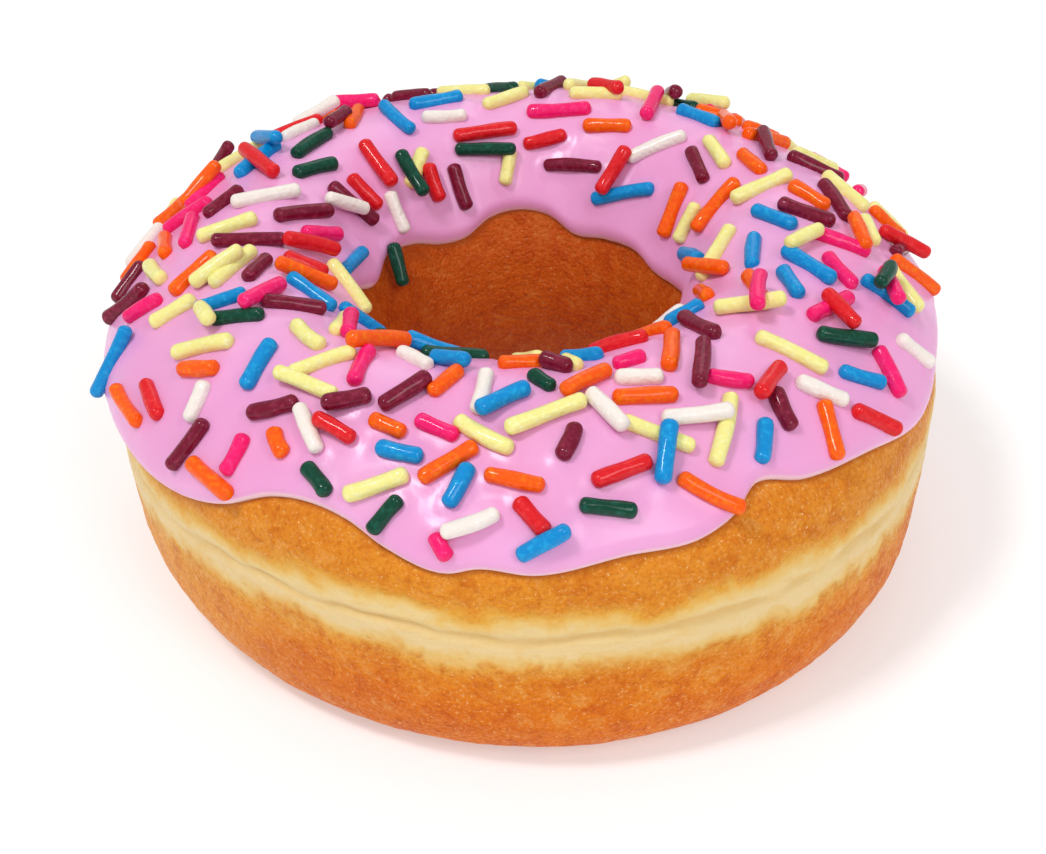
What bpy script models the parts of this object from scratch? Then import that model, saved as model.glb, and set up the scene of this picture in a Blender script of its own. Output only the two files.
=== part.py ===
"""A ring doughnut: raised fried dough, with a skin of icing over its top and sprinkles stuck in the icing.

A place on the ring is an azimuth and a distance across the ring. The azimuth is in degrees, anticlockwise from
+X, so 270 faces the front. The distance across is in millimetres along the dough's skin from the crown of the
ring, positive down the outer side and negative down into the hole.
"""

import math
import random

import bmesh
import bpy
import numpy as np
from mathutils import Vector

MM = 0.001

# Dough, in millimetres: its section as (radius, height), from the crown outwards, down, under and up the hole
SECTION = (
    (29.6, 36.0), (34.6, 34.5), (40.5, 30.6), (44.4, 26.2), (45.3, 21.6), (45.2, 17.0), (44.8, 11.5),
    (44.0, 6.0), (41.5, 1.6), (36.0, 0.0), (25.0, 0.0), (20.0, 2.4), (17.0, 6.8), (15.0, 12.2),
    (14.6, 17.8), (15.6, 22.8), (17.9, 27.2), (20.9, 31.5), (24.7, 34.8),
)
CURVE_STEPS = 16
RING_AT = (0.3, 0.4)
CROWN_HEIGHT = SECTION[0][1]
HOLE_SIDE, OUTER_SIDE = (16.0, 28.0), (28.0, 46.0)
OVAL, OVAL_TURN = 0.8, -56.0
LOBES, LOBES_TURN = 0.6, 40.0
HIGHER, HIGHER_TURN = 1.2, 114.0
HOLE_BACK = 0.8
LUMPS, LUMPS_FADE = 0.25, 9.0
WAIST = (
    (0, 24.8), (45, 23.5), (95, 24.5), (150, 23.5), (210, 26.2), (240, 24.6), (258, 25.2), (272, 26.2), (290, 26.2),
    (308, 25.8), (328, 26.2),
)
WAIST_DEPTH, WAIST_WIDTH = 0.45, 1.5

# Icing, in millimetres: how high it stands off the dough, its rounded lip and how far it reaches each way
ICING_TOP, ICING_UNDER = 1.4, 0.5
LIP = 1.7
WAVES = 0.15
OUTER_HEM = (
    (0, 18.8), (20, 19.5), (45, 17.0), (70, 19.0), (95, 17.5), (120, 19.5), (145, 17.5), (165, 19.0),
    (180, 19.5), (192, 21.4), (203, 21.8), (213, 21.4), (220, 20.4), (227, 18.6), (234, 15.7), (246, 15.2),
    (252, 16.9), (260, 18.2), (263, 17.6), (270, 18.0), (281, 16.8), (291, 16.6), (296, 15.4), (300, 13.6),
    (307, 15.2), (319, 17.0), (330, 19.2), (345, 18.4),
)
INNER_HEM = (
    (0, 15.2), (12, 16.2), (27, 17.0), (40, 16.2), (55, 16.4), (68, 16.7), (79, 14.9), (90, 14.4), (100, 15.0),
    (111, 16.8), (121, 16.8), (132, 15.6), (148, 15.0), (162, 16.2), (175, 14.2), (192, 13.6), (215, 15.0),
    (240, 16.3), (265, 15.0), (290, 16.4), (315, 15.0), (338, 16.2),
)

# Sprinkles, in millimetres
SPRINKLE_RADIUS = 0.87
SPRINKLE_TIP = 0.4
CORNER_RADIUS = 0.99
SINK, PRESSED, BOW_SHARE = 0.4, 0.65, 0.8
LENGTHS = (3.4, 7.0, 5.2)
SPRINKLE_COUNT = 200
SPACING, CROSSING = 2.0, 1.3
SHARE_ON_TOP, FAR_END = 0.2, 0.25
TALLEST_LIFT = 2.0
FARTHEST = 12.0
DEEPEST_REACH, WIDEST_REACH = 13.0, 16.0
INNER_REACH = (
    (0, 12.5), (30, 12.0), (60, 9.8), (130, 9.8), (160, 12.0), (200, 12.0), (230, 9.0), (310, 9.0), (340, 12.0),
)
OUTER_REACH = (
    (0, 15.0), (90, 15.5), (180, 15.0), (200, 8.0), (215, 2.0), (230, 0.0), (250, -5.0), (300, -4.0),
    (318, 1.0), (338, 10.0),
)
SEED, TRIES = 10, 600
SHARES = {
    "yellow": 50, "orange": 43, "pink": 31, "green": 19, "purple": 38, "white": 25, "red": 24, "blue": 36,
}
# The sprinkles of the near side and the hole's rim, as (azimuth, across) of one rounded end, then of the other
CHOSEN = {
    "yellow": (
        (204.5, 10, 212.5, 5), (228.5, 4, 235, -0.5), (227, 5, 238, 4.5), (246, 13, 253, 10),
        (259.5, 4, 267.5, 6.5), (267, 5, 279, 2.5), (285, 5, 293, 8.5), (302.5, 5.5, 295, 10.5),
        (316, 2, 320.5, 8), (280, -4.5, 281.5, -2.5), (91.5, -8, 94, -11.5), (118, -6.5, 127, -9.5),
    ),
    "orange": (
        (198, 17.5, 206.5, 17.5), (221, 16.5, 229, 17), (231.5, 10, 234.5, 11.5), (208.5, 10.5, 214.5, 8),
        (246, 5.5, 251, 6), (262, 6.5, 255.5, 10), (264.5, 9, 271.5, 10), (265, -3, 276.5, -4),
        (285.5, -0.5, 276.5, 2), (285, 2.5, 294.5, 3.5), (290, 11, 296, 15), (315.5, 10.5, 312, 15),
        (253.5, 1.5, 256.5, -1.5), (303.5, -2.8, 296.3, 1),
    ),
    "pink": (
        (227, 12, 227, 15.5), (237.5, -1.5, 240, 2.5), (253, 4.5, 259, 5.5), (258.5, 15, 260, 16.5),
        (302, 3, 307.5, 5), (331.5, 11, 328, 15), (288.5, -1.5, 294, -1.5),
    ),
    "green": (
        (239, 12, 243, 13.5), (253, 12.5, 250.5, 15.5), (276.5, 12, 282.5, 13), (147.5, -14.2, 153, -18),
        (326, 5.5, 331.5, 10), (271.5, -0.8, 274.5, 0.8), (108, -7.5, 91, -8.5),
    ),
    "purple": (
        (219.5, 13, 217.5, 18), (226, 9.5, 232, 6.5), (238, 6, 243.5, 3.5), (252, 0.5, 246.5, 4),
        (277, 5, 274.5, 7.5), (305.5, 0, 298, 4), (310, 7, 308.5, 10.5), (274, -3, 279, -2),
        (80, -9.6, 62, -9.2), (110.5, -9, 109.5, -13.5),
    ),
    "white": (
        (215, 10, 216.5, 13.5), (234, 7, 239.5, 10), (281, 2, 284, 6), (265.5, 12.5, 259.5, 14.5),
        (287, 0.5, 294, 1.5), (291, 5.5, 300.5, 7), (315, 7.5, 319, 11.5), (337, 12.5, 338.5, 16.5),
        (262.5, -1, 262, 3), (242, -3.5, 250, -2), (136, -9.5, 138, -13.5),
    ),
    "red": (
        (203.5, 14.5, 210, 15.5), (238, 7.5, 244, 8), (268.5, 11.5, 271.5, 14), (286, 9, 278.5, 10),
        (306, 7, 313.5, 5.5), (319.3, 12.9, 323.5, 16.9), (119, -8.5, 119, -12), (107, -6, 90, -5.5),
    ),
    "blue": (
        (192, 13.5, 192.5, 20.5), (220, 2.5, 222.5, 7.5), (248.5, 8, 254.5, 8), (261.5, 8.5, 259.5, 12),
        (270, 1, 262.5, 3.5), (274, 14, 268.5, 16), (290.5, 6.5, 287, 11), (305.2, 8.9, 301.5, 11.8),
        (323, 9.5, 327, 13), (59.5, -12.6, 40, -9.4), (280.5, -7, 287.5, -4.5), (250, -3.5, 258, -2),
    ),
}


def closed_curve(points, steps):
    """A smooth closed curve through the points, with the same number of steps between each two."""
    b = np.array(points)
    a, c, d = np.roll(b, 1, 0), np.roll(b, -1, 0), np.roll(b, -2, 0)
    a, b, c, d = (p[:, None, :] for p in (a, b, c, d))
    t = np.linspace(0, 1, steps, endpoint=False)[None, :, None]
    curve = 2 * b + (c - a) * t + (2 * a - 5 * b + 4 * c - d) * t**2 + (3 * b - a - 3 * c + d) * t**3
    return curve.reshape(-1, 2) / 2


SKIN = closed_curve(SECTION, CURVE_STEPS)
SKIN = np.vstack([SKIN, SKIN[:1]])
SKIN[:, 1] = np.maximum(SKIN[:, 1], 0)
SKIN_RUN = np.concatenate([[0], np.cumsum(np.hypot(*np.diff(SKIN, axis=0).T))])
GIRTH = SKIN_RUN[-1]
FOOT = [SKIN_RUN[i * CURVE_STEPS] for i, (radius, height) in enumerate(SECTION) if height == 0]


def around(table, azimuth):
    """Read a table of (azimuth, value) that runs round the ring, as one smooth curve."""
    places, values = np.array(table, float).T
    places = np.concatenate([places - 360, places, places + 360])
    values = np.tile(values, 3)
    slopes = np.gradient(values, places)
    azimuth = np.mod(azimuth, 360)
    i = np.searchsorted(places, azimuth, side="right") - 1
    run = places[i + 1] - places[i]
    t = (azimuth - places[i]) / run
    start = (1 + 2 * t) * (1 - t) ** 2 * values[i] + t * (1 - t) ** 2 * run * slopes[i]
    end = t**2 * (3 - 2 * t) * values[i + 1] - t**2 * (1 - t) * run * slopes[i + 1]
    return start + end


def ease(value, low, high):
    """Rise smoothly from 0 at low to 1 at high."""
    t = np.clip((value - low) / (high - low), 0, 1)
    return t**2 * (3 - 2 * t)


def section_at(across):
    """The radius and height of the even ring's skin at a distance across."""
    run = np.mod(across, GIRTH)
    return np.interp(run, SKIN_RUN, SKIN[:, 0]), np.interp(run, SKIN_RUN, SKIN[:, 1])


def place(azimuth, across, lift=0.0):
    """The point at a place on the ring, raised off the dough's skin, in millimetres."""
    turn = np.radians(azimuth)
    radius, height = section_at(across)
    (radius_0, height_0), (radius_1, height_1) = section_at(across - 0.4), section_at(across + 0.4)
    slope = np.arctan2(height_0 - height_1, radius_1 - radius_0)
    lumps = np.sin(3 * turn + across / 9) + np.sin(7 * turn - across / 6) * 0.5
    lift = lift + LUMPS * lumps * ease(height, 0, LUMPS_FADE)
    radius = radius + lift * np.sin(slope)
    height = height + lift * np.cos(slope)
    uneven = OVAL * np.cos(2 * (turn - math.radians(OVAL_TURN)))
    uneven = uneven + LOBES * np.cos(3 * (turn - math.radians(LOBES_TURN)))
    hole = 1 - ease(radius, *HOLE_SIDE)
    radius = radius + uneven * ease(radius, *OUTER_SIDE)
    height = height * (1 + HIGHER * np.cos(turn - math.radians(HIGHER_TURN)) / CROWN_HEIGHT)
    x = RING_AT[0] + radius * np.cos(turn)
    y = RING_AT[1] + radius * np.sin(turn) + HOLE_BACK * hole
    return np.stack(np.broadcast_arrays(x, y, height), axis=-1)


def edge_and_waves(azimuth, across):
    """How far a place lies in from the icing's nearer hem, and the soft waves of the icing's face there."""
    edge = np.minimum(around(OUTER_HEM, azimuth) - across, around(INNER_HEM, azimuth) + across)
    turn = np.radians(azimuth)
    waves = WAVES * (np.sin(5 * turn + across / 4) + np.sin(11 * turn - across / 5))
    return edge, waves * ease(edge, 0, 3 * LIP)


def icing_top(azimuth, across):
    """How high the icing's upper face stands off the dough: even, with soft waves and a rounded lip."""
    edge, waves = edge_and_waves(azimuth, across)
    lip = np.sqrt(1 - (1 - np.clip(edge / LIP, 0, 1)) ** 2)
    return ICING_UNDER + (ICING_TOP - ICING_UNDER + waves) * lip


def touching(line, other):
    """Where along a line of points it comes nearest to another, from 0 to 1, and how near."""
    gaps = np.linalg.norm(line[:, None] - other[None], axis=2)
    nearest, other_nearest = np.unravel_index(gaps.argmin(), gaps.shape)
    return nearest / (len(line) - 1), other_nearest / (len(other) - 1), gaps.min()


class Sprinkles:
    """Sprinkles laid one after another: each lies in the icing, or over the earlier ones that it crosses."""

    def __init__(self):
        self.colours, self.lines, self.lifts = [], [], []
        self.middles = np.empty((0, 3))

    def lifts_for(self, line):
        """How far each end of a new line rises over what it crosses, and how many it crosses and crowds."""
        lifts, crossed, crowded = [0.0, 0.0], 0, 0
        near = np.linalg.norm(self.middles - line[len(line) // 2], axis=1) < FARTHEST
        for i in np.flatnonzero(near):
            start, end = self.lifts[i]
            at, other_at, gap = touching(line, self.lines[i])
            if gap >= CROSSING:
                crowded += gap < SPACING
                continue
            crossed += 1
            clear = math.sqrt(4 * SPRINKLE_RADIUS**2 - gap**2) - PRESSED
            needed = start + (end - start) * other_at + clear
            short = needed - (lifts[0] + (lifts[1] - lifts[0]) * at)
            if short > 0:
                nearer = int(at > 0.5)
                rise = short / (1 - (1 - FAR_END) * min(at, 1 - at))
                lifts[nearer] += rise
                lifts[1 - nearer] += rise * FAR_END
        return lifts, crossed, crowded

    def lay(self, colour, line, lifts):
        self.colours.append(colour)
        self.lines.append(line)
        self.lifts.append(lifts)
        self.middles = np.vstack([self.middles, line[len(line) // 2]])


def line_between(start, end):
    """The middle line of a sprinkle that lies straight in the icing between two places, as points."""
    azimuth, across = (np.linspace(start[i], end[i], 7) for i in range(2))
    waves = edge_and_waves(azimuth, across)[1]
    along_icing = place(azimuth, across, ICING_TOP + waves + SPRINKLE_RADIUS - SINK)
    straight = np.linspace(along_icing[0], along_icing[-1], 7)
    return straight + BOW_SHARE * (along_icing[3] - straight[3])


def up_at(line):
    """The way out of the dough at the middle of a line."""
    middle = line[len(line) // 2]
    ring = Vector((middle[0] - RING_AT[0], middle[1] - RING_AT[1], 0)).normalized() * SECTION[0][0]
    return (Vector(middle) - ring - Vector((*RING_AT, CROWN_HEIGHT / 2))).normalized()


def lay_sprinkles():
    """The chosen sprinkles, then the others by a seeded draw, the longest first and evenly spread."""
    sprinkles = Sprinkles()
    for colour, places in CHOSEN.items():
        for azimuth_0, across_0, azimuth_1, across_1 in places:
            line = line_between((azimuth_0, across_0), (azimuth_1, across_1))
            sprinkles.lay(colour, line, sprinkles.lifts_for(line)[0])
    draw = random.Random(SEED)
    colours = [colour for colour, share in SHARES.items() for _ in range(share - len(CHOSEN[colour]))]
    draw.shuffle(colours)
    lengths = sorted((draw.triangular(*LENGTHS) for _ in colours), reverse=True)
    for colour, length in zip(colours, lengths):
        if len(sprinkles.lines) == SPRINKLE_COUNT:
            break
        on_top = draw.random() < SHARE_ON_TOP
        for _ in range(TRIES):
            azimuth, across = draw.uniform(0, 360), draw.uniform(-DEEPEST_REACH, WIDEST_REACH)
            heading = draw.uniform(0, math.pi)
            radius = section_at(across)[0]
            inside = -around(INNER_REACH, azimuth) < across < around(OUTER_REACH, azimuth)
            if not inside or draw.random() * OUTER_SIDE[1] > radius:
                continue
            turn = math.degrees(length / 2 * math.cos(heading) / radius)
            step = length / 2 * math.sin(heading)
            line = line_between((azimuth - turn, across - step), (azimuth + turn, across + step))
            lifts, crossed, crowded = sprinkles.lifts_for(line)
            fits = (crossed in (1, 2) and max(lifts) < TALLEST_LIFT) if on_top else not crossed
            if fits and not crowded:
                sprinkles.lay(colour, line, lifts)
                break
    return sprinkles


def skin_over(name, rows, tips=()):
    """A mesh over rows of points: each row is a loop, and the rows close on each other or end in two tips."""
    mesh = bpy.data.meshes.new(name)
    bm = bmesh.new()
    loops = [[bm.verts.new(point * MM) for point in row] for row in rows]
    for one, two in zip(loops, loops[1:] if len(tips) else loops[1:] + loops[:1]):
        for i in range(len(one)):
            bm.faces.new((one[i - 1], one[i], two[i], two[i - 1]))
    for tip, loop in zip(tips, (loops[0], loops[-1])):
        point = bm.verts.new(tip * MM)
        for i in range(len(loop)):
            bm.faces.new((loop[i - 1], loop[i], point))
    bmesh.ops.recalc_face_normals(bm, faces=bm.faces)
    bm.to_mesh(mesh)
    bm.free()
    return mesh


def add(name, mesh, material):
    thing = bpy.data.objects.new(name, mesh)
    bpy.context.scene.collection.objects.link(thing)
    mesh.materials.append(material)
    mesh.shade_smooth()
    mesh.set_sharp_from_angle(angle=math.radians(50))
    return thing


def material(name, colour, roughness):
    made = bpy.data.materials.new(name)
    made.use_nodes = True
    shader = made.node_tree.nodes["Principled BSDF"]
    shader.inputs["Base Color"].default_value = (*colour, 1)
    shader.inputs["Roughness"].default_value = roughness
    return made


def make_dough():
    """The ring of dough, with its flat foot, its hole and the crease round its waist."""
    rows = []
    for azimuth in np.linspace(0, 360, 64, endpoint=False):
        waist = around(WAIST, azimuth)
        across = np.concatenate([
            np.linspace(0, waist - WAIST_WIDTH, 4),
            [waist],
            np.linspace(waist + WAIST_WIDTH, FOOT[0], 5),
            np.linspace(FOOT[0], FOOT[1], 3)[1:],
            np.linspace(FOOT[1], GIRTH, 8)[1:-1],
        ])
        rows.append(place(azimuth, across, np.where(across == waist, -WAIST_DEPTH, 0)))
    return add("dough", skin_over("dough", rows), material("fried_dough", (0.55, 0.24, 0.06), 0.6))


def make_icing():
    """The icing: a skin over the top of the ring, from its hem in the hole to its hem down the outer side."""
    rows = []
    for azimuth in np.linspace(0, 360, 72, endpoint=False):
        outer, inner = around(OUTER_HEM, azimuth), -around(INNER_HEM, azimuth)
        over = np.concatenate([
            [inner, inner + 0.25 * LIP],
            np.linspace(inner + LIP, outer - LIP, 8),
            [outer - 0.25 * LIP, outer],
        ])
        under = np.linspace(outer, inner, 8)[1:-1]
        top, bottom = place(azimuth, over, icing_top(azimuth, over)), place(azimuth, under, ICING_UNDER)
        rows.append(np.vstack([top, bottom]))
    return add("icing", skin_over("icing", rows), material("pink_icing", (0.85, 0.36, 0.60), 0.25))


def make_sprinkle(line, lifts):
    """One sprinkle: a five-sided rod with blunt domed ends."""
    up = up_at(line)
    start, end = (Vector(point) + up * lift for point, lift in zip((line[0], line[-1]), lifts))
    along = (end - start).normalized()
    side = along.cross(up).normalized()
    top = side.cross(along)
    turns = [math.radians(72 * corner + 90) for corner in range(5)]
    spokes = [(side * math.cos(turn) + top * math.sin(turn)) * CORNER_RADIUS for turn in turns]
    rows = [[middle + spoke for spoke in spokes] for middle in (start, end)]
    tip = along * SPRINKLE_TIP
    return skin_over("sprinkle", rows, (start - tip, end + tip))


def fuse_sprinkles(icing):
    """Join every sprinkle to the icing as one solid, and keep only its outer surface."""
    loose = bpy.data.collections.new("loose_sprinkles")
    bpy.context.scene.collection.children.link(loose)
    sprinkles = lay_sprinkles()
    for line, lifts in zip(sprinkles.lines, sprinkles.lifts):
        loose.objects.link(bpy.data.objects.new("sprinkle", make_sprinkle(line, lifts)))
    union = icing.modifiers.new("union", "BOOLEAN")
    union.operation = "UNION"
    union.operand_type = "COLLECTION"
    union.collection = loose
    fused = bpy.data.meshes.new_from_object(icing.evaluated_get(bpy.context.evaluated_depsgraph_get()))
    icing.modifiers.clear()
    keep_largest_shell(fused)
    icing.data = fused
    for sprinkle in list(loose.objects):
        bpy.data.objects.remove(sprinkle)
    bpy.data.collections.remove(loose)


def keep_largest_shell(mesh):
    """Fill the hollows that fusing sealed, and drop loose scraps: all shells but the largest go."""
    bm = bmesh.new()
    bm.from_mesh(mesh)
    shells, left = [], set(bm.verts)
    while left:
        shell, edge = set(), {left.pop()}
        while edge:
            shell |= edge
            edge = {e.other_vert(v) for v in edge for e in v.link_edges} - shell
        left -= shell
        shells.append(shell)
    shells.sort(key=len)
    for shell in shells[:-1]:
        bmesh.ops.delete(bm, geom=list(shell), context="VERTS")
    bm.to_mesh(mesh)
    bm.free()


for old in list(bpy.data.objects):
    bpy.data.objects.remove(old)
make_dough()
fuse_sprinkles(make_icing())
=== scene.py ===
"""The looks of an iced ring doughnut: fried dough with a pale waist, glossy pink icing and sugar sprinkles.

A place on the ring is an azimuth and a distance across the ring, as in the part's own source. The azimuth is
in degrees, anticlockwise from +X, so 270 faces the camera. The distance across is in millimetres along the
dough's skin from the crown of the ring, positive down the outer side and negative down into the hole.
"""

import math
import random

import bpy
import numpy as np
from mathutils import Euler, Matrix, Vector, noise
from mathutils.kdtree import KDTree


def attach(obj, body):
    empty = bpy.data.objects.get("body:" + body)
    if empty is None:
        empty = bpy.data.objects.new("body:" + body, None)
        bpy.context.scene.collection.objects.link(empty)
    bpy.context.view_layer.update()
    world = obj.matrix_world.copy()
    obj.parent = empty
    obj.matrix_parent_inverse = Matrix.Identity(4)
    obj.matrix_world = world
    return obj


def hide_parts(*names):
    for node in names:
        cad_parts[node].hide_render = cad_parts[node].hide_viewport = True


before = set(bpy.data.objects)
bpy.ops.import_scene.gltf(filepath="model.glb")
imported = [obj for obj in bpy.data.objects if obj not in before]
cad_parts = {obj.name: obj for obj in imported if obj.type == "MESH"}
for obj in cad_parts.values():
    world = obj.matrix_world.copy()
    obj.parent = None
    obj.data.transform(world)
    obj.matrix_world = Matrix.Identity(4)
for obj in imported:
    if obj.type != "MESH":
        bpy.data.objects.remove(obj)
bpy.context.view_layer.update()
MM = 0.001

# Dough, in millimetres and degrees: its section as (radius, height) runs from the crown outwards, down, under
# and up the hole
SECTION = (
    (29.6, 36.0), (34.6, 34.5), (40.5, 30.6), (44.4, 26.2), (45.3, 21.6), (45.2, 17.0), (44.8, 11.5),
    (44.0, 6.0), (41.5, 1.6), (36.0, 0.0), (25.0, 0.0), (20.0, 2.4), (17.0, 6.8), (15.0, 12.2),
    (14.6, 17.8), (15.6, 22.8), (17.9, 27.2), (20.9, 31.5), (24.7, 34.8),
)
CURVE_STEPS = 16
RING_AT = (0.3, 0.4)
CROWN_RADIUS, CROWN_HEIGHT = SECTION[0]
HOLE_SIDE, OUTER_SIDE = (16.0, 28.0), (28.0, 46.0)
OVAL, OVAL_TURN = 0.8, -56.0
LOBES, LOBES_TURN = 0.6, 40.0
HIGHER, HIGHER_TURN = 1.2, 114.0
HOLE_BACK = 0.8
SLOPE_STEP = 0.4
LUMPS, LUMPS_FADE = 0.25, 9.0
WAIST = (
    (0, 24.8), (45, 23.5), (95, 24.5), (150, 23.5), (210, 26.2), (240, 24.6), (258, 25.2), (272, 26.2),
    (290, 26.2), (308, 25.8), (328, 26.2),
)
CREASE_DEPTH, CREASE_WIDTH, CREASE_WANDER = 0.4, 0.55, 16.0
CREASE_SHOWS = (-0.9, 0.3)
GRAIN, GRAIN_SIZE = 0.05, 1.1
BLISTERS, BLISTER_SIZE = 0.1, 5.0
WAIST_WANDER = 0.8
RAGGED, RAGGED_SIZE, RAGGED_REACH = 0.35, 1.8, 3
FOOT_FADE = (0.2, 3)
DOUGH_AROUND = 480
COVERED_ROWS, WALL_ROWS, FOOT_ROWS, HOLE_ROWS = 16, 130, 8, 44

# Icing, in millimetres: how high it stands off the dough, its rounded lip and how far it reaches each way
ICING_TOP, ICING_UNDER, ICING_TUCK = 1.4, -0.1, -0.5
LIP = 1.7
WAVES = 0.15
ICING_AROUND, ICING_OVER, LIP_STEPS, ICING_BELOW = 560, 60, 9, 12
OUTER_HEM = (
    (0, 18.8), (20, 19.5), (45, 17.0), (70, 19.0), (95, 17.5), (120, 19.5), (145, 17.5), (165, 19.0),
    (180, 19.5), (192, 21.4), (203, 21.8), (213, 21.4), (220, 20.4), (227, 18.6), (234, 15.7), (246, 15.2),
    (252, 16.9), (260, 18.2), (263, 17.6), (270, 18.0), (281, 16.8), (291, 16.6), (296, 15.4), (300, 13.6),
    (307, 15.2), (319, 17.0), (330, 19.2), (345, 18.4),
)
INNER_HEM = (
    (0, 15.2), (12, 16.2), (27, 17.0), (40, 16.2), (55, 16.4), (68, 16.7), (79, 14.9), (90, 14.4),
    (100, 15.0), (111, 16.8), (121, 16.8), (132, 15.6), (148, 15.0), (162, 16.2), (175, 14.2), (192, 13.6),
    (215, 15.0), (240, 16.3), (265, 15.0), (290, 16.4), (315, 15.0), (338, 16.2),
)

# Sprinkles, in millimetres, laid by the same rule as in the part's own source, which stops at 200 of them
SPRINKLE_RADIUS = 0.87
SPRINKLE_TIP = 0.4
SINK, PRESSED, BOW_SHARE = 0.4, 0.65, 0.8
LINE_POINTS = 7
LENGTHS = (3.4, 7.0, 5.2)
SPACING, CROSSING = 2.0, 1.3
SHARE_ON_TOP, FAR_END = 0.2, 0.25
TALLEST_LIFT = 2.0
FARTHEST = 12.0
DEEPEST_REACH, WIDEST_REACH = 13.0, 16.0
INNER_REACH = (
    (0, 12.5), (30, 12.0), (60, 9.8), (130, 9.8), (160, 12.0), (200, 12.0), (230, 9.0), (310, 9.0),
    (340, 12.0),
)
OUTER_REACH = (
    (0, 15.0), (90, 15.5), (180, 15.0), (200, 8.0), (215, 2.0), (230, 0.0), (250, -5.0), (300, -4.0),
    (318, 1.0), (338, 10.0),
)
SEED, TRIES = 10, 600
SHARES = {
    "yellow": 50, "orange": 43, "pink": 31, "green": 19, "purple": 38, "white": 25, "red": 24, "blue": 36,
}
# Their looks, with lengths in millimetres
THICKNESSES = (0.88, 1.0)
BEND = 0.12
ROD_BLUNT, ROD_SHOULDER, ROD_END_RINGS, ROD_RINGS, ROD_SIDES = 0.8, 2.2, 5, 9, 16
ROD_LUMPS, ROD_PHASES = 0.03, 6.3
MENISCUS, MENISCUS_REACH = 0.16, 1.8

# The crust's colours, as linear light
# The left colour is painted light falling from the left, and partly the lower crust's own paler golden tone
# there
HOLE_COLOUR, LEFT_GOLD_AND_LIGHT_COLOUR = (0.56, 0.1, 0.005), (0.95, 0.52, 0.09)
# Below, the crease colour is painted shade in the waist's crease, and the soaked colour is painted shade
# under the icing's hem, with oil soaked in there too
STREAK_COLOUR, CREASE_SHADE_COLOUR, SOAK_AND_SHADE_COLOUR = (0.8, 0.5, 0.15), (0.7, 0.4, 0.1), (0.45, 0.1, 0.01)
BLOTCH_TINT, PATCH_TINT, GRAIN_TINT = (0.86, 0.66, 0.45), (0.82, 0.6, 0.4), (0.84, 0.66, 0.5)
# The speck colour is painted glints of oil and sugar on the crust
PATCH_PALE, GRAIN_PALE, SPECK_GLINT = (0.86, 0.4, 0.09), (0.93, 0.56, 0.2), (1.0, 0.75, 0.45)
# The crust's colours on its outer side by the distance down from the waist, in millimetres
WALL_SPAN = (-14, 27)
WALL_COLOURS = (
    (-12, (0.74, 0.25, 0.017)), (-4.4, (0.77, 0.28, 0.018)), (-3.2, (0.8, 0.4, 0.05)),
    (-2.2, (0.81, 0.53, 0.16)), (-1.2, (0.82, 0.62, 0.29)), (1.4, (0.82, 0.62, 0.31)),
    (2.6, (0.81, 0.54, 0.18)), (3.8, (0.8, 0.37, 0.05)), (5.5, (0.8, 0.26, 0.01)),
    (10, (0.78, 0.2, 0.003)), (20, (0.76, 0.18, 0.002)), (26, (0.78, 0.24, 0.01)),
)
# How far to the left the lower crust turns golden, partly painted light, the sizes of the crust's marks and
# painted glints and how far the two largest shift the colours of the waist, in millimetres, and the share of
# the pale crumbs and painted glints that shows in the hole
LEFT_GOLD_AND_LIGHT_SPAN = (-18.0, -42.0)
BLOTCH_SIZE, PATCH_SIZE, STREAK_SIZE, FINE_SIZE, GLINT_SIZE = 6.0, 1.7, 0.9, 0.4, 0.22
STREAK_STRETCH = (0.3, 0.3, 1.0)
BLOTCH_WARP, PATCH_WARP = 4.5, 2.4
HOLE_CRUMBS_AND_GLINTS = 0.35
# The marks of the icing and of the sugar, and the depths of all three kinds of fine relief, in millimetres
CLOUD_SIZE, SATIN_SIZE, DIMPLE_SIZE = 14.0, 3.0, 1.8
SPOT_SIZE, PIT_SIZE = 0.55, 0.5
CRUST_RELIEF, ICING_RELIEF, SUGAR_RELIEF = 0.28, 0.04, 0.13
# The icing's colours, the last both the paler thin edge and a painted highlight along its rounded lip, then
# each sugar's own and its mottling, as linear light
ICING_COLOUR, ICING_PALE, ICING_EDGE_AND_SHEEN = (0.83, 0.345, 0.64), (0.86, 0.4, 0.7), (0.98, 0.76, 0.8)
SUGAR = {
    "yellow": ((0.88, 0.82, 0.28), (0.91, 0.88, 0.42)),
    "orange": ((0.95, 0.1, 0.0), (0.96, 0.19, 0.001)),
    "pink": ((0.90, 0.008, 0.15), (0.92, 0.035, 0.22)),
    "green": ((0.0, 0.05, 0.026), (0.006, 0.09, 0.055)),
    "purple": ((0.17, 0.003, 0.024), (0.27, 0.02, 0.06)),
    "white": ((0.88, 0.80, 0.73), (0.91, 0.85, 0.80)),
    "red": ((0.72, 0.008, 0.014), (0.80, 0.03, 0.035)),
    "blue": ((0.0, 0.25, 0.62), (0.01, 0.36, 0.72)),
}

# Stage: the camera in millimetres, as the photograph was taken, the floor in metres, and lights by azimuth,
# elevation, distance, size and power, in degrees, metres and watts
CAMERA_AT, CAMERA_AIM, CAMERA_ROLL = (0.3, -191.6, 143.6), (-0.2, 0.4, 11.3), -2.6
LENS_IN_WIDTHS = 1.953
FLOOR_SIZE, FLOOR_COLOUR, FLOOR_GLOW = 16.0, (0.68, 0.68, 0.69), 0.37
SKY, SKY_STRENGTH = (1.0, 1.0, 1.0), 0.55
LIGHTS = {
    "key": (215, 64, 0.8, 0.15, 2.35),
    "front_fill": (300, 42, 0.8, 0.32, 1.5),
    "back_glow": (75, 40, 0.9, 0.45, 0.7),
}

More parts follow.
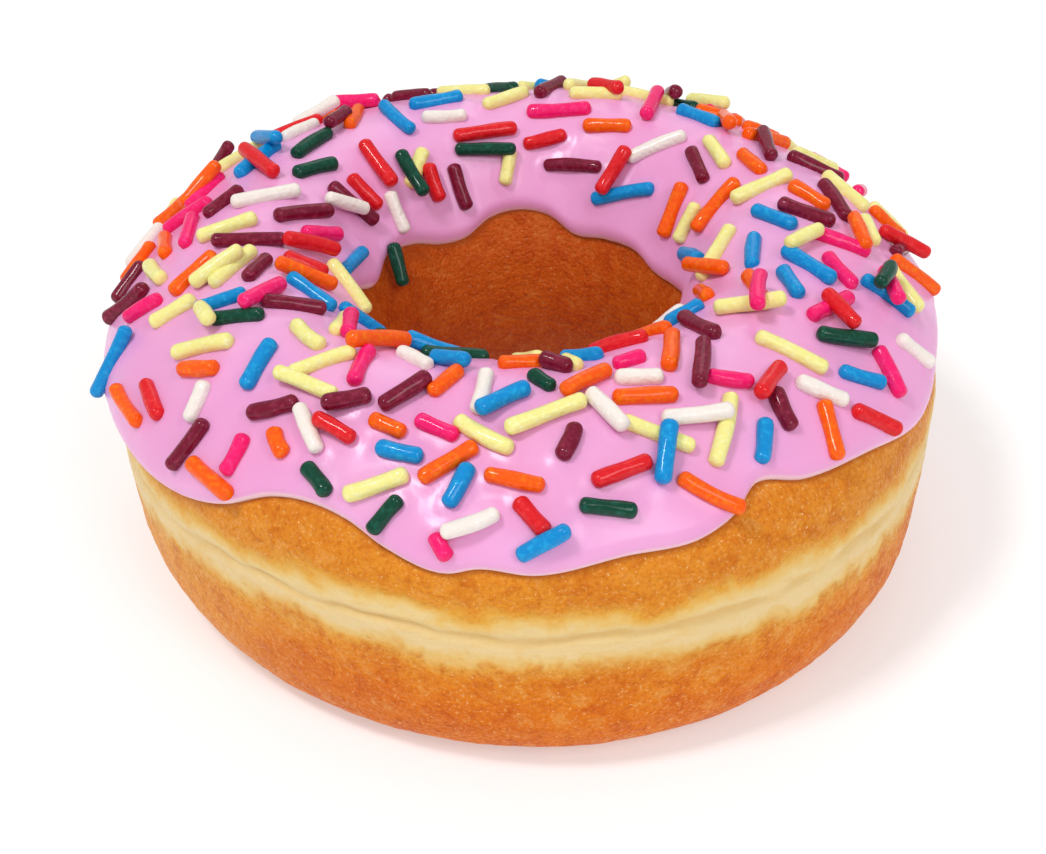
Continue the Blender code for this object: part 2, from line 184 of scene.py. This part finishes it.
# The sprinkles of the near side and the hole's rim, as (azimuth, across) of one rounded end, then the other
CHOSEN = {
    "yellow": (
        (204.5, 10, 212.5, 5), (228.5, 4, 235, -0.5), (227, 5, 238, 4.5), (246, 13, 253, 10),
        (259.5, 4, 267.5, 6.5), (267, 5, 279, 2.5), (285, 5, 293, 8.5), (302.5, 5.5, 295, 10.5),
        (316, 2, 320.5, 8), (280, -4.5, 281.5, -2.5), (91.5, -8, 94, -11.5), (118, -6.5, 127, -9.5),
    ),
    "orange": (
        (198, 17.5, 206.5, 17.5), (221, 16.5, 229, 17), (231.5, 10, 234.5, 11.5), (208.5, 10.5, 214.5, 8),
        (246, 5.5, 251, 6), (262, 6.5, 255.5, 10), (264.5, 9, 271.5, 10), (265, -3, 276.5, -4),
        (285.5, -0.5, 276.5, 2), (285, 2.5, 294.5, 3.5), (290, 11, 296, 15), (315.5, 10.5, 312, 15),
        (253.5, 1.5, 256.5, -1.5), (303.5, -2.8, 296.3, 1),
    ),
    "pink": (
        (227, 12, 227, 15.5), (237.5, -1.5, 240, 2.5), (253, 4.5, 259, 5.5), (258.5, 15, 260, 16.5),
        (302, 3, 307.5, 5), (331.5, 11, 328, 15), (288.5, -1.5, 294, -1.5),
    ),
    "green": (
        (239, 12, 243, 13.5), (253, 12.5, 250.5, 15.5), (276.5, 12, 282.5, 13), (147.5, -14.2, 153, -18),
        (326, 5.5, 331.5, 10), (271.5, -0.8, 274.5, 0.8), (108, -7.5, 91, -8.5),
    ),
    "purple": (
        (219.5, 13, 217.5, 18), (226, 9.5, 232, 6.5), (238, 6, 243.5, 3.5), (252, 0.5, 246.5, 4),
        (277, 5, 274.5, 7.5), (305.5, 0, 298, 4), (310, 7, 308.5, 10.5), (274, -3, 279, -2),
        (80, -9.6, 62, -9.2), (110.5, -9, 109.5, -13.5),
    ),
    "white": (
        (215, 10, 216.5, 13.5), (234, 7, 239.5, 10), (281, 2, 284, 6), (265.5, 12.5, 259.5, 14.5),
        (287, 0.5, 294, 1.5), (291, 5.5, 300.5, 7), (315, 7.5, 319, 11.5), (337, 12.5, 338.5, 16.5),
        (262.5, -1, 262, 3), (242, -3.5, 250, -2), (136, -9.5, 138, -13.5),
    ),
    "red": (
        (203.5, 14.5, 210, 15.5), (238, 7.5, 244, 8), (268.5, 11.5, 271.5, 14), (286, 9, 278.5, 10),
        (306, 7, 313.5, 5.5), (319.3, 12.9, 323.5, 16.9), (119, -8.5, 119, -12), (107, -6, 90, -5.5),
    ),
    "blue": (
        (192, 13.5, 192.5, 20.5), (220, 2.5, 222.5, 7.5), (248.5, 8, 254.5, 8), (261.5, 8.5, 259.5, 12),
        (270, 1, 262.5, 3.5), (274, 14, 268.5, 16), (290.5, 6.5, 287, 11), (305.2, 8.9, 301.5, 11.8),
        (323, 9.5, 327, 13), (59.5, -12.6, 40, -9.4), (280.5, -7, 287.5, -4.5), (250, -3.5, 258, -2),
    ),
}


def closed_curve(points, steps):
    """A smooth closed curve through the points, with the same number of steps between each two."""
    b = np.array(points)
    a, c, d = np.roll(b, 1, 0), np.roll(b, -1, 0), np.roll(b, -2, 0)
    a, b, c, d = (p[:, None, :] for p in (a, b, c, d))
    t = np.linspace(0, 1, steps, endpoint=False)[None, :, None]
    curve = 2 * b + (c - a) * t + (2 * a - 5 * b + 4 * c - d) * t**2 + (3 * b - a - 3 * c + d) * t**3
    return curve.reshape(-1, 2) / 2


SKIN = closed_curve(SECTION, CURVE_STEPS)
SKIN = np.vstack([SKIN, SKIN[:1]])
SKIN[:, 1] = np.maximum(SKIN[:, 1], 0)
SKIN_RUN = np.concatenate([[0], np.cumsum(np.hypot(*np.diff(SKIN, axis=0).T))])
GIRTH = SKIN_RUN[-1]
FOOT = [SKIN_RUN[i * CURVE_STEPS] for i, (radius, height) in enumerate(SECTION) if height == 0]


def around(table, azimuth):
    """Read a table of (azimuth, value) that runs round the ring, as one smooth curve."""
    places, values = np.array(table, float).T
    places = np.concatenate([places - 360, places, places + 360])
    values = np.tile(values, 3)
    slopes = np.gradient(values, places)
    azimuth = np.mod(azimuth, 360)
    i = np.searchsorted(places, azimuth, side="right") - 1
    run = places[i + 1] - places[i]
    t = (azimuth - places[i]) / run
    start = (1 + 2 * t) * (1 - t) ** 2 * values[i] + t * (1 - t) ** 2 * run * slopes[i]
    end = t**2 * (3 - 2 * t) * values[i + 1] - t**2 * (1 - t) * run * slopes[i + 1]
    return start + end


def ease(value, low, high):
    """Rise smoothly from 0 at low to 1 at high."""
    t = np.clip((value - low) / (high - low), 0, 1)
    return t**2 * (3 - 2 * t)


def section_at(across):
    """The radius and height of the even ring's skin at a distance across."""
    run = np.mod(across, GIRTH)
    return np.interp(run, SKIN_RUN, SKIN[:, 0]), np.interp(run, SKIN_RUN, SKIN[:, 1])


def place(azimuth, across, lift=0.0):
    """The point at a place on the ring, raised off the dough's skin, in millimetres."""
    turn = np.radians(azimuth)
    radius, height = section_at(across)
    before, after = section_at(across - SLOPE_STEP), section_at(across + SLOPE_STEP)
    slope = np.arctan2(before[1] - after[1], after[0] - before[0])
    lumps = np.sin(3 * turn + across / 9) + np.sin(7 * turn - across / 6) * 0.5
    lift = lift + LUMPS * lumps * ease(height, 0, LUMPS_FADE)
    radius = radius + lift * np.sin(slope)
    height = height + lift * np.cos(slope)
    uneven = OVAL * np.cos(2 * (turn - math.radians(OVAL_TURN)))
    uneven = uneven + LOBES * np.cos(3 * (turn - math.radians(LOBES_TURN)))
    hole = 1 - ease(radius, *HOLE_SIDE)
    radius = radius + uneven * ease(radius, *OUTER_SIDE)
    height = height * (1 + HIGHER * np.cos(turn - math.radians(HIGHER_TURN)) / CROWN_HEIGHT)
    x = RING_AT[0] + radius * np.cos(turn)
    y = RING_AT[1] + radius * np.sin(turn) + HOLE_BACK * hole
    return np.stack(np.broadcast_arrays(x, y, height), axis=-1)


def edge_and_waves(azimuth, across):
    """How far a place lies in from the icing's nearer hem, and the soft waves of the icing's face there."""
    edge = np.minimum(around(OUTER_HEM, azimuth) - across, around(INNER_HEM, azimuth) + across)
    turn = np.radians(azimuth)
    waves = WAVES * (np.sin(5 * turn + across / 4) + np.sin(11 * turn - across / 5))
    return edge, waves * ease(edge, 0, 3 * LIP)


def icing_top(azimuth, across):
    """How high the icing's upper face stands off the dough: even, with soft waves and a rounded lip."""
    edge, waves = edge_and_waves(azimuth, across)
    lip = np.sqrt(1 - (1 - np.clip(edge / LIP, 0, 1)) ** 2)
    return ICING_UNDER + (ICING_TOP - ICING_UNDER + waves) * lip


def touching(line, other):
    """Where along a line of points it comes nearest to another, from 0 to 1, and how near."""
    gaps = np.linalg.norm(line[:, None] - other[None], axis=2)
    nearest, other_nearest = np.unravel_index(gaps.argmin(), gaps.shape)
    return nearest / (len(line) - 1), other_nearest / (len(other) - 1), gaps.min()


class Sprinkles:
    """Sprinkles laid one after another: each lies in the icing, or over the earlier ones that it crosses."""

    def __init__(self):
        self.colours, self.lines, self.lifts = [], [], []
        self.middles = np.empty((0, 3))

    def lifts_for(self, line):
        """How far each end of a new line rises over what it crosses, and how many it crosses and crowds."""
        lifts, crossed, crowded = [0.0, 0.0], 0, 0
        near = np.linalg.norm(self.middles - line[LINE_POINTS // 2], axis=1) < FARTHEST
        for i in np.flatnonzero(near):
            start, end = self.lifts[i]
            at, other_at, gap = touching(line, self.lines[i])
            if gap >= CROSSING:
                crowded += gap < SPACING
                continue
            crossed += 1
            clear = math.sqrt(4 * SPRINKLE_RADIUS**2 - gap**2) - PRESSED
            needed = start + (end - start) * other_at + clear
            short = needed - (lifts[0] + (lifts[1] - lifts[0]) * at)
            if short > 0:
                nearer = int(at > 0.5)
                rise = short / (1 - (1 - FAR_END) * min(at, 1 - at))
                lifts[nearer] += rise
                lifts[1 - nearer] += rise * FAR_END
        return lifts, crossed, crowded

    def lay(self, colour, line, lifts):
        """Keep a new line of a colour, with the lift of each end."""
        self.colours.append(colour)
        self.lines.append(line)
        self.lifts.append(lifts)
        self.middles = np.vstack([self.middles, line[LINE_POINTS // 2]])


def line_between(start, end):
    """The middle line of a sprinkle that lies straight in the icing between two places, as points."""
    azimuth, across = (np.linspace(start[i], end[i], LINE_POINTS) for i in range(2))
    waves = edge_and_waves(azimuth, across)[1]
    along_icing = place(azimuth, across, ICING_TOP + waves + SPRINKLE_RADIUS - SINK)
    straight = np.linspace(along_icing[0], along_icing[-1], LINE_POINTS)
    middle = LINE_POINTS // 2
    return straight + BOW_SHARE * (along_icing[middle] - straight[middle])


def up_at(line):
    """The way out of the dough at the middle of a line."""
    middle = line[LINE_POINTS // 2]
    ring = Vector((middle[0] - RING_AT[0], middle[1] - RING_AT[1], 0)).normalized() * CROWN_RADIUS
    return (Vector(middle) - ring - Vector((*RING_AT, CROWN_HEIGHT / 2))).normalized()


def lay_sprinkles():
    """The chosen sprinkles, then the others by a seeded draw, the longest first and evenly spread."""
    sprinkles = Sprinkles()
    for colour, places in CHOSEN.items():
        for azimuth_0, across_0, azimuth_1, across_1 in places:
            line = line_between((azimuth_0, across_0), (azimuth_1, across_1))
            sprinkles.lay(colour, line, sprinkles.lifts_for(line)[0])
    draw = random.Random(SEED)
    colours = [colour for colour, share in SHARES.items() for _ in range(share - len(CHOSEN[colour]))]
    draw.shuffle(colours)
    lengths = sorted((draw.triangular(*LENGTHS) for _ in colours), reverse=True)
    for colour, length in zip(colours, lengths):
        on_top = draw.random() < SHARE_ON_TOP
        for _ in range(TRIES):
            azimuth, across = draw.uniform(0, 360), draw.uniform(-DEEPEST_REACH, WIDEST_REACH)
            heading = draw.uniform(0, math.pi)
            radius = section_at(across)[0]
            inside = -around(INNER_REACH, azimuth) < across < around(OUTER_REACH, azimuth)
            if not inside or draw.random() * OUTER_SIDE[1] > radius:
                continue
            turn = math.degrees(length / 2 * math.cos(heading) / radius)
            step = length / 2 * math.sin(heading)
            line = line_between((azimuth - turn, across - step), (azimuth + turn, across + step))
            lifts, crossed, crowded = sprinkles.lifts_for(line)
            fits = (crossed in (1, 2) and max(lifts) < TALLEST_LIFT) if on_top else not crossed
            if fits and not crowded:
                sprinkles.lay(colour, line, lifts)
                break
    return sprinkles


def closed_grid(name, points):
    """A mesh over points in rows across the ring, one row for each azimuth, that closes both ways."""
    rows, columns = points.shape[:2]
    corner = np.arange(rows * columns).reshape(rows, columns)
    beside, ahead = np.roll(corner, -1, 1), np.roll(corner, -1, 0)
    faces = np.stack([corner, beside, np.roll(ahead, -1, 1), ahead], axis=-1).reshape(-1, 4)
    return piece(name, points.reshape(-1, 3), faces.tolist())


def piece(name, points, faces):
    """A smooth piece of the doughnut, from points in millimetres."""
    mesh = bpy.data.meshes.new(name)
    mesh.from_pydata((points * MM).tolist(), [], faces)
    mesh.shade_smooth()
    made = bpy.data.objects.new(name, mesh)
    bpy.context.scene.collection.objects.link(made)
    return made


def add_values(made, name, values):
    """Give a piece a number at each of its points, for its material."""
    layer = made.data.attributes.new(name, "FLOAT", "POINT")
    layer.data.foreach_set("value", np.ravel(values).astype(np.float32))


def noise_over(points, size, octaves):
    """Noise from about -1 to 1 at each point, the same on every run, with lumps of a size in millimetres."""
    spots = (points / size).reshape(-1, 3).tolist()
    values = [noise.fractal(spot, 0.8, 2.0, octaves) for spot in spots]
    return np.array(values).reshape(points.shape[:2])


def make_dough():
    """The fried ring: its fine relief, blisters and the wandering crease round its pale waist."""
    azimuth = np.linspace(0, 360, DOUGH_AROUND, endpoint=False)[:, None]
    covered = min(reach for _, reach in OUTER_HEM) - 1
    rows = (
        (-covered, covered, COVERED_ROWS), (covered, FOOT[0], WALL_ROWS),
        (FOOT[0], FOOT[1], FOOT_ROWS), (FOOT[1], GIRTH - covered, HOLE_ROWS),
    )
    across = np.concatenate([np.linspace(*row, endpoint=False) for row in rows])[None, :]
    azimuth, across = np.broadcast_arrays(azimuth, across)
    even = place(azimuth, across)
    blisters = noise_over(even, BLISTER_SIZE, 2)
    grain = noise_over(even, GRAIN_SIZE, 3)
    from_waist = across - around(WAIST, azimuth) + WAIST_WANDER * blisters
    wander = noise_over(even, CREASE_WANDER, 1)
    crease = np.exp(-(((from_waist + wander) / CREASE_WIDTH) ** 2)) * ease(blisters, *CREASE_SHOWS)
    standing = ease(even[..., 2], *FOOT_FADE)
    lift = (BLISTERS * (blisters - 0.5) + GRAIN * (grain - 0.5)) * standing - CREASE_DEPTH * crease
    by_foot = np.exp(-(((across - FOOT[0] + RAGGED_REACH) / RAGGED_REACH) ** 2))
    lift += RAGGED * noise_over(even, RAGGED_SIZE, 2) * by_foot * standing
    past_foot = across > (FOOT[0] + FOOT[1]) / 2
    down_hole = past_foot | (across < 0)
    signed = np.where(past_foot, across - GIRTH, across)
    from_hem = np.maximum(signed - around(OUTER_HEM, azimuth), -around(INNER_HEM, azimuth) - signed)
    dough = closed_grid("dough_crust", place(azimuth, across, lift))
    add_values(dough, "from_waist", from_waist)
    add_values(dough, "from_hem", from_hem)
    add_values(dough, "down_hole", down_hole)
    add_values(dough, "crease", crease)
    dough.data.materials.append(dough_material())
    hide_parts("dough")
    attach(dough, "root")


def make_icing(sprinkles):
    """The icing: a glossy skin with rounded lips, that rises a little against each sprinkle stuck in it."""
    rounds = LIP * (1 - np.cos(np.linspace(0, math.pi / 2, LIP_STEPS, endpoint=False)))
    spots = np.concatenate(sprinkles.lines)
    tree = KDTree(len(spots))
    for i, spot in enumerate(spots):
        tree.insert(spot, i)
    tree.balance()
    rows, edges = [], []
    for azimuth in np.linspace(0, 360, ICING_AROUND, endpoint=False):
        outer, inner = around(OUTER_HEM, azimuth), -around(INNER_HEM, azimuth)
        middle = np.linspace(inner + LIP, outer - LIP, ICING_OVER)
        over = np.concatenate([inner + rounds, middle, outer - rounds[::-1]])
        lift = icing_top(azimuth, over)
        near = np.array([tree.find(point)[2] for point in place(azimuth, over, lift)])
        lift += MENISCUS * ease(-near, -MENISCUS_REACH, -SPRINKLE_RADIUS) * ease(lift, 0, ICING_TOP)
        under = np.linspace(outer, inner, ICING_BELOW + 2)[1:-1]
        rows.append(np.vstack([place(azimuth, over, lift), place(azimuth, under, ICING_TUCK)]))
        edges.append(np.concatenate([np.minimum(outer - over, over - inner), under * 0]))
    icing = closed_grid("icing_skin", np.array(rows))
    add_values(icing, "from_edge", edges)
    icing.data.materials.append(icing_material())
    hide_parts("icing")
    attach(icing, "root")


def rod_points(start, middle, end, up, radius, phase):
    """The points of one sprinkle: rings along a slightly bent rod with blunt, rounded ends."""
    length = np.linalg.norm(end - start)
    blunt = ROD_BLUNT * radius
    ends = blunt * (1 - np.cos(np.linspace(0, math.pi / 2, ROD_END_RINGS + 1)))[1:]
    along = np.concatenate([ends, np.linspace(blunt, length - blunt, ROD_RINGS)[1:-1], length - ends[::-1]])
    inset = np.clip(1 - np.minimum(along, length - along) / blunt, 0, 1)
    t = (along / length)[:, None]
    path = (1 - t) ** 2 * start + 2 * t * (1 - t) * (2 * middle - (start + end) / 2) + t**2 * end
    way = np.gradient(path, axis=0)
    way /= np.linalg.norm(way, axis=1)[:, None]
    side = np.cross(way, up)
    side /= np.linalg.norm(side, axis=1)[:, None]
    top = np.cross(side, way)
    turn = np.linspace(0, 2 * math.pi, ROD_SIDES, endpoint=False)[None, :]
    lumpy = 1 + ROD_LUMPS * np.sin(7 * t + phase) + ROD_LUMPS * np.sin(3 * turn + 9 * t + 2 * phase)
    girth = radius * lumpy * np.sqrt(1 - inset**ROD_SHOULDER)[:, None]
    spokes = np.cos(turn)[..., None] * side[:, None] + np.sin(turn)[..., None] * top[:, None]
    rings = path[:, None] + spokes * girth[..., None]
    return np.vstack([start[None], rings.reshape(-1, 3), end[None]])


def rod_faces(rings):
    """The faces over a sprinkle's rings, and over its two tips."""
    ring = 1 + np.arange(rings * ROD_SIDES).reshape(rings, ROD_SIDES)
    beside = np.roll(ring, -1, 1)
    sides = np.stack([ring[:-1], ring[1:], beside[1:], beside[:-1]], axis=-1).reshape(-1, 4).tolist()
    first = [[0, a, b] for a, b in zip(ring[0], beside[0])]
    last = [[rings * ROD_SIDES + 1, b, a] for a, b in zip(ring[-1], beside[-1])]
    return sides + np.array(first).tolist() + np.array(last).tolist()


def make_sprinkles(sprinkles):
    """One piece for each colour, holding all the sprinkles of that colour."""
    draw = random.Random(SEED + 1)
    faces = rod_faces(2 * ROD_END_RINGS + ROD_RINGS - 2)
    sets = {colour: [] for colour in SHARES}
    for colour, line, lifts in zip(sprinkles.colours, sprinkles.lines, sprinkles.lifts):
        up = np.array(up_at(line))
        start, end = line[0] + up * lifts[0], line[-1] + up * lifts[1]
        side = np.cross(end - start, up)
        bend = side / np.linalg.norm(side) * draw.gauss(0, BEND) + up * draw.gauss(0, BEND / 2)
        middle = (start + end) / 2 + bend
        tip = SPRINKLE_TIP * (end - start) / np.linalg.norm(end - start)
        radius = SPRINKLE_RADIUS * draw.uniform(*THICKNESSES)
        phase = draw.uniform(0, ROD_PHASES)
        sets[colour].append(rod_points(start - tip, middle, end + tip, up, radius, phase))
    for colour, rods in sets.items():
        count = len(rods[0])
        all_faces = [[corner + n * count for corner in face] for n in range(len(rods)) for face in faces]
        made = piece("sprinkles_" + colour, np.vstack(rods), all_faces)
        made.data.materials.append(sprinkle_material(colour))
        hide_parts("icing")
        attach(made, "root")


def node(tree, kind, inputs, **settings):
    """Add a node, with its sockets linked or set."""
    made = tree.nodes.new(kind)
    for name, value in settings.items():
        setattr(made, name, value)
    for name, value in inputs.items():
        if isinstance(value, bpy.types.NodeSocket):
            tree.links.new(value, made.inputs[name])
        else:
            made.inputs[name].default_value = value
    return made


def new_material(name, **values):
    """A material with its Principled shader's own values set, and a coordinate in millimetres."""
    made = bpy.data.materials.new(name)
    made.use_nodes = True
    tree = made.node_tree
    shader = tree.nodes["Principled BSDF"]
    for socket, value in values.items():
        shader.inputs[socket.replace("_", " ")].default_value = value
    place_in = tree.nodes.new("ShaderNodeTexCoord").outputs["Object"]
    coordinate = node(tree, "ShaderNodeVectorMath", {0: place_in, "Scale": 1 / MM}, operation="SCALE")
    return made, tree, shader, coordinate.outputs[0]


def noise_node(tree, coordinate, size, detail=2.0, distortion=0.0):
    inputs = {"Vector": coordinate, "Scale": 1 / size, "Detail": detail, "Distortion": distortion}
    return node(tree, "ShaderNodeTexNoise", inputs).outputs["Fac"]


def values_of(tree, name):
    return node(tree, "ShaderNodeAttribute", {}, attribute_name=name).outputs["Fac"]


def maths(tree, operation, first, second=0.0, third=0.0):
    return node(tree, "ShaderNodeMath", {0: first, 1: second, 2: third}, operation=operation).outputs[0]


def spread(tree, value, low, high, to_low=0.0, to_high=1.0):
    """Take a value from one range to another, smoothly and clamped."""
    inputs = {"Value": value, "From Min": low, "From Max": high, "To Min": to_low, "To Max": to_high}
    return node(tree, "ShaderNodeMapRange", inputs, interpolation_type="SMOOTHSTEP").outputs[0]


def mix(tree, share, first, second, blend="MIX"):
    made = node(tree, "ShaderNodeMix", {}, data_type="RGBA", blend_type=blend)
    for socket, value in zip((made.inputs[0], made.inputs[6], made.inputs[7]), (share, first, second)):
        if isinstance(value, bpy.types.NodeSocket):
            tree.links.new(value, socket)
        else:
            socket.default_value = value if isinstance(value, float) else (*value, 1)
    return made.outputs[2]


def ramp(tree, value, low, high, stops):
    """Colours along a value: each stop is a place between low and high, and its colour."""
    place_in = node(tree, "ShaderNodeMapRange", {"Value": value, "From Min": low, "From Max": high})
    made = node(tree, "ShaderNodeValToRGB", {"Fac": place_in.outputs[0]})
    elements = made.color_ramp.elements
    while len(elements) < len(stops):
        elements.new(0.5)
    for element, (at, colour) in zip(elements, stops):
        element.position = (at - low) / (high - low)
        element.color = (*colour, 1)
    return made.outputs["Color"]


def bumps(tree, shader, height, depth):
    """Fine relief, as a height from 0 to 1 and its depth in millimetres."""
    inputs = {"Height": height, "Distance": depth * MM, "Strength": 1.0}
    made = node(tree, "ShaderNodeBump", inputs)
    tree.links.new(made.outputs["Normal"], shader.inputs["Normal"])


def dough_material():
    """Fried crust: brown above and below a cream waist, mottled and grainy, with painted glints, painted
    light to its left, painted shade in the waist's crease and a dark line under the icing's edge that is
    painted shade and soaked oil.
    """
    made, tree, shader, mm = new_material(
        "fried_crust", Subsurface_Weight=0.08, Subsurface_Scale=0.0008, Specular_IOR_Level=0.14)
    shader.inputs["Subsurface Radius"].default_value = (1.0, 0.45, 0.2)
    drawn = node(tree, "ShaderNodeVectorMath", {0: mm, 1: STREAK_STRETCH}, operation="MULTIPLY").outputs[0]
    blotch = noise_node(tree, mm, BLOTCH_SIZE, 3.0, 0.4)
    streak = noise_node(tree, drawn, STREAK_SIZE, 4.0)
    patch = noise_node(tree, mm, PATCH_SIZE, 4.0, 0.6)
    grain = noise_node(tree, mm, FINE_SIZE, 3.0)
    glint_spots = noise_node(tree, mm, GLINT_SIZE, 1.0)
    warped = maths(tree, "ADD", values_of(tree, "from_waist"), -BLOTCH_WARP / 2)
    warped = maths(tree, "MULTIPLY_ADD", blotch, BLOTCH_WARP, warped)
    warped = maths(tree, "MULTIPLY_ADD", patch, PATCH_WARP, maths(tree, "ADD", warped, -PATCH_WARP / 2))
    wall = ramp(tree, warped, *WALL_SPAN, WALL_COLOURS)
    from_middle = node(tree, "ShaderNodeSeparateXYZ", {0: mm}).outputs["X"]
    # Painted light: the lower crust paler and more golden towards the left, where the light falls, partly its
    # own paler tone
    gold_and_light_left, below = spread(tree, from_middle, *LEFT_GOLD_AND_LIGHT_SPAN, 0.0, 0.45), spread(tree, warped, 2.0, 6.0)
    wall = mix(tree, maths(tree, "MULTIPLY", gold_and_light_left, below), wall, LEFT_GOLD_AND_LIGHT_COLOUR)
    colour = mix(tree, values_of(tree, "down_hole"), wall, HOLE_COLOUR)
    brown = spread(tree, maths(tree, "ABSOLUTE", warped), 2.0, 5.0, 0.1, 1.0)
    outside = maths(tree, "MULTIPLY_ADD", values_of(tree, "down_hole"), HOLE_CRUMBS_AND_GLINTS - 1, 1.0)
    crumbs_and_glints = maths(tree, "MULTIPLY", brown, outside)

    def share(value, low, high, most, where=brown):
        return maths(tree, "MULTIPLY", spread(tree, value, low, high), maths(tree, "MULTIPLY", where, most))

    colour = mix(tree, share(blotch, 0.4, 0.65, 0.5), colour, BLOTCH_TINT, "MULTIPLY")
    colour = mix(tree, share(patch, 0.5, 0.68, 0.65), colour, PATCH_TINT, "MULTIPLY")
    colour = mix(tree, share(patch, 0.45, 0.3, 0.4, crumbs_and_glints), colour, PATCH_PALE)
    colour = mix(tree, share(grain, 0.48, 0.66, 0.6), colour, GRAIN_TINT, "MULTIPLY")
    colour = mix(tree, share(grain, 0.4, 0.28, 0.45, crumbs_and_glints), colour, GRAIN_PALE)
    # Painted highlights: sparse bright glints on the crust
    colour = mix(tree, share(glint_spots, 0.7, 0.78, 0.8, crumbs_and_glints), colour, SPECK_GLINT)
    pale = maths(tree, "SUBTRACT", 1.0, brown)
    pale_streaks = maths(tree, "MULTIPLY", spread(tree, streak, 0.5, 0.7, 0.0, 0.45), pale)
    colour = mix(tree, pale_streaks, colour, STREAK_COLOUR)
    # Painted shade: the waist's crease darkened where it would be shaded
    colour = mix(tree, maths(tree, "MULTIPLY", values_of(tree, "crease"), 0.5), colour, CREASE_SHADE_COLOUR)
    # Painted shade: a thin dark line on the dough just below the icing's hem, where the lip shades it, with
    # oil soaked in there too
    soak_and_shade = spread(tree, values_of(tree, "from_hem"), 0.6, 0.05, 0.0, 0.7)
    colour = mix(tree, soak_and_shade, colour, SOAK_AND_SHADE_COLOUR)
    tree.links.new(colour, shader.inputs["Base Color"])
    tree.links.new(spread(tree, grain, 0.3, 0.7, 0.32, 0.6), shader.inputs["Roughness"])
    rough = maths(tree, "MULTIPLY", maths(tree, "ADD", grain, patch), spread(tree, brown, 0.0, 1.0, 0.3, 1.0))
    bumps(tree, shader, maths(tree, "MULTIPLY_ADD", streak, 0.5, rough), CRUST_RELIEF)
    return made


def icing_material():
    """Set icing: pink, glossy and faintly uneven, paler at its edge, where it thins and where a highlight
    along the rounded lip is painted.
    """
    made, tree, shader, mm = new_material(
        "pink_icing", Subsurface_Weight=0.25, Subsurface_Scale=0.0014, Specular_IOR_Level=0.35,
        Coat_Weight=0.28, Coat_Roughness=0.2)
    shader.inputs["Subsurface Radius"].default_value = (1.0, 0.5, 0.8)
    clouds = noise_node(tree, mm, CLOUD_SIZE, 2.0)
    colour = mix(tree, spread(tree, clouds, 0.3, 0.7), ICING_COLOUR, ICING_PALE)
    # Painted highlight and thinning: the rounded lip paler along its edge
    thin_and_sheen = spread(tree, values_of(tree, "from_edge"), 0.45, 0.1, 0.0, 0.8)
    colour = mix(tree, thin_and_sheen, colour, ICING_EDGE_AND_SHEEN)
    tree.links.new(colour, shader.inputs["Base Color"])
    roughness = spread(tree, noise_node(tree, mm, SATIN_SIZE, 3.0), 0.3, 0.7, 0.3, 0.4)
    tree.links.new(roughness, shader.inputs["Roughness"])
    bumps(tree, shader, noise_node(tree, mm, DIMPLE_SIZE, 2.0), ICING_RELIEF)
    return made


def sprinkle_material(colour):
    """A sugar rod: waxy, with faint mottling and a fine uneven skin."""
    made, tree, shader, mm = new_material(
        "sugar_" + colour, Specular_IOR_Level=0.06, Coat_Weight=0.45, Coat_Roughness=0.07)
    base, mottle = SUGAR[colour]
    spots = noise_node(tree, mm, SPOT_SIZE, 3.0)
    tree.links.new(mix(tree, spread(tree, spots, 0.45, 0.75), base, mottle), shader.inputs["Base Color"])
    tree.links.new(spread(tree, spots, 0.3, 0.7, 0.35, 0.55), shader.inputs["Roughness"])
    bumps(tree, shader, noise_node(tree, mm, PIT_SIZE, 1.5), SUGAR_RELIEF)
    return made


def make_floor():
    """A white sheet that the doughnut stands on."""
    half = FLOOR_SIZE / 2
    mesh = bpy.data.meshes.new("floor")
    corners = [(-half, -half, 0), (half, -half, 0), (half, half, 0), (-half, half, 0)]
    mesh.from_pydata(corners, [], [(0, 1, 2, 3)])
    floor = bpy.data.objects.new("floor", mesh)
    bpy.context.scene.collection.objects.link(floor)
    made, _, shader, _ = new_material("white_floor", Roughness=0.9, Specular_IOR_Level=0.1)
    shader.inputs["Base Color"].default_value = (*FLOOR_COLOUR, 1)
    shader.inputs["Emission Color"].default_value = (1, 1, 1, 1)
    shader.inputs["Emission Strength"].default_value = FLOOR_GLOW
    mesh.materials.append(made)


def soft_light(name, azimuth, elevation, distance, size, power):
    """A square softbox that faces the doughnut."""
    light = bpy.data.lights.new(name, "AREA")
    light.size, light.energy = size, power
    made = bpy.data.objects.new(name, light)
    bpy.context.scene.collection.objects.link(made)
    turn, rise = math.radians(azimuth), math.radians(elevation)
    way = Vector((math.cos(rise) * math.cos(turn), math.cos(rise) * math.sin(turn), math.sin(rise)))
    made.location = Vector((0, 0, CROWN_HEIGHT * MM / 2)) + way * distance
    made.rotation_euler = way.to_track_quat("Z", "Y").to_euler()


def make_light():
    world = bpy.data.worlds.new("studio")
    world.use_nodes = True
    world.node_tree.nodes["Background"].inputs["Color"].default_value = (*SKY, 1)
    world.node_tree.nodes["Background"].inputs["Strength"].default_value = SKY_STRENGTH
    bpy.context.scene.world = world
    for name, settings in LIGHTS.items():
        soft_light(name, *settings)
    bpy.context.scene.view_settings.view_transform = "Standard"


def make_camera():
    """The photograph's view: from the front, looking down 35 degrees, with a slight clockwise roll."""
    lens = bpy.data.cameras.new("camera")
    lens.lens = LENS_IN_WIDTHS * lens.sensor_width
    camera = bpy.data.objects.new("camera", lens)
    bpy.context.scene.collection.objects.link(camera)
    away = Vector(CAMERA_AT) - Vector(CAMERA_AIM)
    camera.location = Vector(CAMERA_AT) * MM
    roll = Euler((0, 0, math.radians(CAMERA_ROLL))).to_quaternion()
    camera.rotation_euler = (away.to_track_quat("Z", "Y") @ roll).to_euler()
    bpy.context.scene.camera = camera


laid = lay_sprinkles()
make_dough()
make_icing(laid)
make_sprinkles(laid)
make_floor()
make_light()
make_camera()
